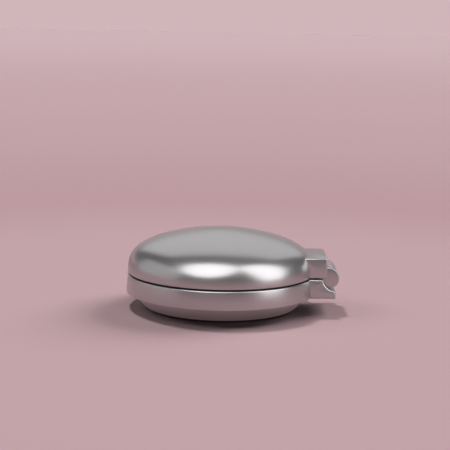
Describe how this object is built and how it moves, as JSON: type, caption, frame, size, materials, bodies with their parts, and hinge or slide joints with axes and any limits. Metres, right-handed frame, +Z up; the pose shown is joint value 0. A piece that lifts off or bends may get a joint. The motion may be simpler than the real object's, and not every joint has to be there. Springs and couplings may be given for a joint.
{
  "type": "portable cd player",
  "caption": "Round domed metal clamshell disc player with a side barrel hinge, a disc well, keys and sockets in its rear band and a flat rubber rest pad.",
  "frame": {"origin": "centre of the flat underside of the rubber rest pad, on the axis of the round case", "axes": "+Z up along the case axis, +X towards the hinge, Y along the hinge pin with -Y the plain front side"},
  "size_m": [0.1574, 0.1404, 0.059],
  "materials": {
    "satin_aluminium": "satin, lightly blasted",
    "bright_steel": "bright",
    "black_rubber": "matte",
    "grey_plastic": "fine grain",
    "black_plastic": "satin",
    "board_laminate": "lacquered",
    "cell_jacket": "plain jacket",
    "lens_glass": "coated"
  },
  "bodies": {
    "base": {"base_shell": "satin_aluminium", "rest_pad": "black_rubber", "rim_gasket": "black_rubber", "case_screw_1": "bright_steel", "case_screw_2": "bright_steel", "case_screw_3": "bright_steel", "case_screw_4": "bright_steel", "deck_plate": "grey_plastic", "battery_cell_1": "cell_jacket", "battery_cell_2": "cell_jacket", "battery_contact_left": "bright_steel", "battery_contact_right": "bright_steel", "main_board": "board_laminate", "traverse_frame": "black_plastic", "damper_1": "black_rubber", "damper_2": "black_rubber", "damper_3": "black_rubber", "spindle_motor": "bright_steel", "guide_rod": "bright_steel", "sled_motor": "bright_steel", "volume_control": "black_plastic", "headphone_jack": "black_plastic", "dc_jack": "black_plastic", "lid_switch": "black_plastic", "catch_magnet": "bright_steel", "hinge_pin": "bright_steel", "hinge_washer_front": "bright_steel", "hinge_washer_rear": "bright_steel"},
    "lid": {"lid_shell": "satin_aluminium", "lid_liner": "grey_plastic", "catch_plate": "bright_steel"},
    "spindle": {"turntable_hub": "black_plastic", "chuck_ball_1": "bright_steel", "chuck_ball_2": "bright_steel", "chuck_ball_3": "bright_steel"},
    "sled": {"pickup_sled": "black_plastic"},
    "lens": {"lens_holder": "black_plastic", "objective_lens": "lens_glass"},
    "screw_shaft": {"lead_screw": "bright_steel"},
    "door": {"battery_door": "grey_plastic"},
    "skip_forward_key": {"skip_forward_button": "satin_aluminium"},
    "play_key": {"play_button": "satin_aluminium"},
    "stop_key": {"stop_button": "satin_aluminium"},
    "skip_back_key": {"skip_back_button": "satin_aluminium"},
    "volume": {"volume_wheel": "black_plastic"},
    "hold": {"hold_switch": "satin_aluminium"}
  },
  "joints": [
    {"name": "lid_hinge", "type": "hinge", "parent": "base", "child": "lid", "pos_m": [0.0796, 0, 0.0256], "axis": [0, 1, 0], "range_deg": [0, 105]},
    {"name": "spindle_spin", "type": "hinge", "parent": "base", "child": "spindle", "pos_m": [0, 0, 0.0184], "axis": [0, 0, 1], "continuous": true},
    {"name": "sled_slide", "type": "slide", "parent": "base", "child": "sled", "axis": [-1, 0, 0], "range_m": [0, 0.033]},
    {"name": "lens_focus", "type": "slide", "parent": "sled", "child": "lens", "axis": [0, 0, 1], "range_m": [-0.0003, 0.0003], "stiffness_N_per_m": 60},
    {"name": "lead_screw_spin", "type": "hinge", "parent": "base", "child": "screw_shaft", "pos_m": [0, 0.0135, 0.0159], "axis": [1, 0, 0], "continuous": true},
    {"name": "battery_door_hinge", "type": "hinge", "parent": "base", "child": "door", "pos_m": [0, -0.02155, 0.02025], "axis": [-1, 0, 0], "range_deg": [0, 95]},
    {"name": "skip_forward_press", "type": "slide", "parent": "base", "child": "skip_forward_key", "axis": [-0.3746, -0.9272, 0], "range_m": [0, 0.0008], "stiffness_N_per_m": 800},
    {"name": "play_press", "type": "slide", "parent": "base", "child": "play_key", "axis": [-0.1736, -0.9848, 0], "range_m": [0, 0.0008], "stiffness_N_per_m": 800},
    {"name": "stop_press", "type": "slide", "parent": "base", "child": "stop_key", "axis": [0.0349, -0.9994, 0], "range_m": [0, 0.0008], "stiffness_N_per_m": 800},
    {"name": "skip_back_press", "type": "slide", "parent": "base", "child": "skip_back_key", "axis": [0.2419, -0.9703, 0], "range_m": [0, 0.0008], "stiffness_N_per_m": 800},
    {"name": "volume_turn", "type": "hinge", "parent": "base", "child": "volume", "pos_m": [0.04955, 0.04158, 0.017], "axis": [0, 0, 1], "range_deg": [-135, 135]},
    {"name": "hold_slide", "type": "slide", "parent": "base", "child": "hold", "axis": [-0.6691, -0.7431, 0], "range_m": [0, 0.004]}
  ],
  "couplings": [
    {"joint": "lead_screw_spin", "follows": "sled_slide", "rad_per_m": 2094.4}
  ]
}
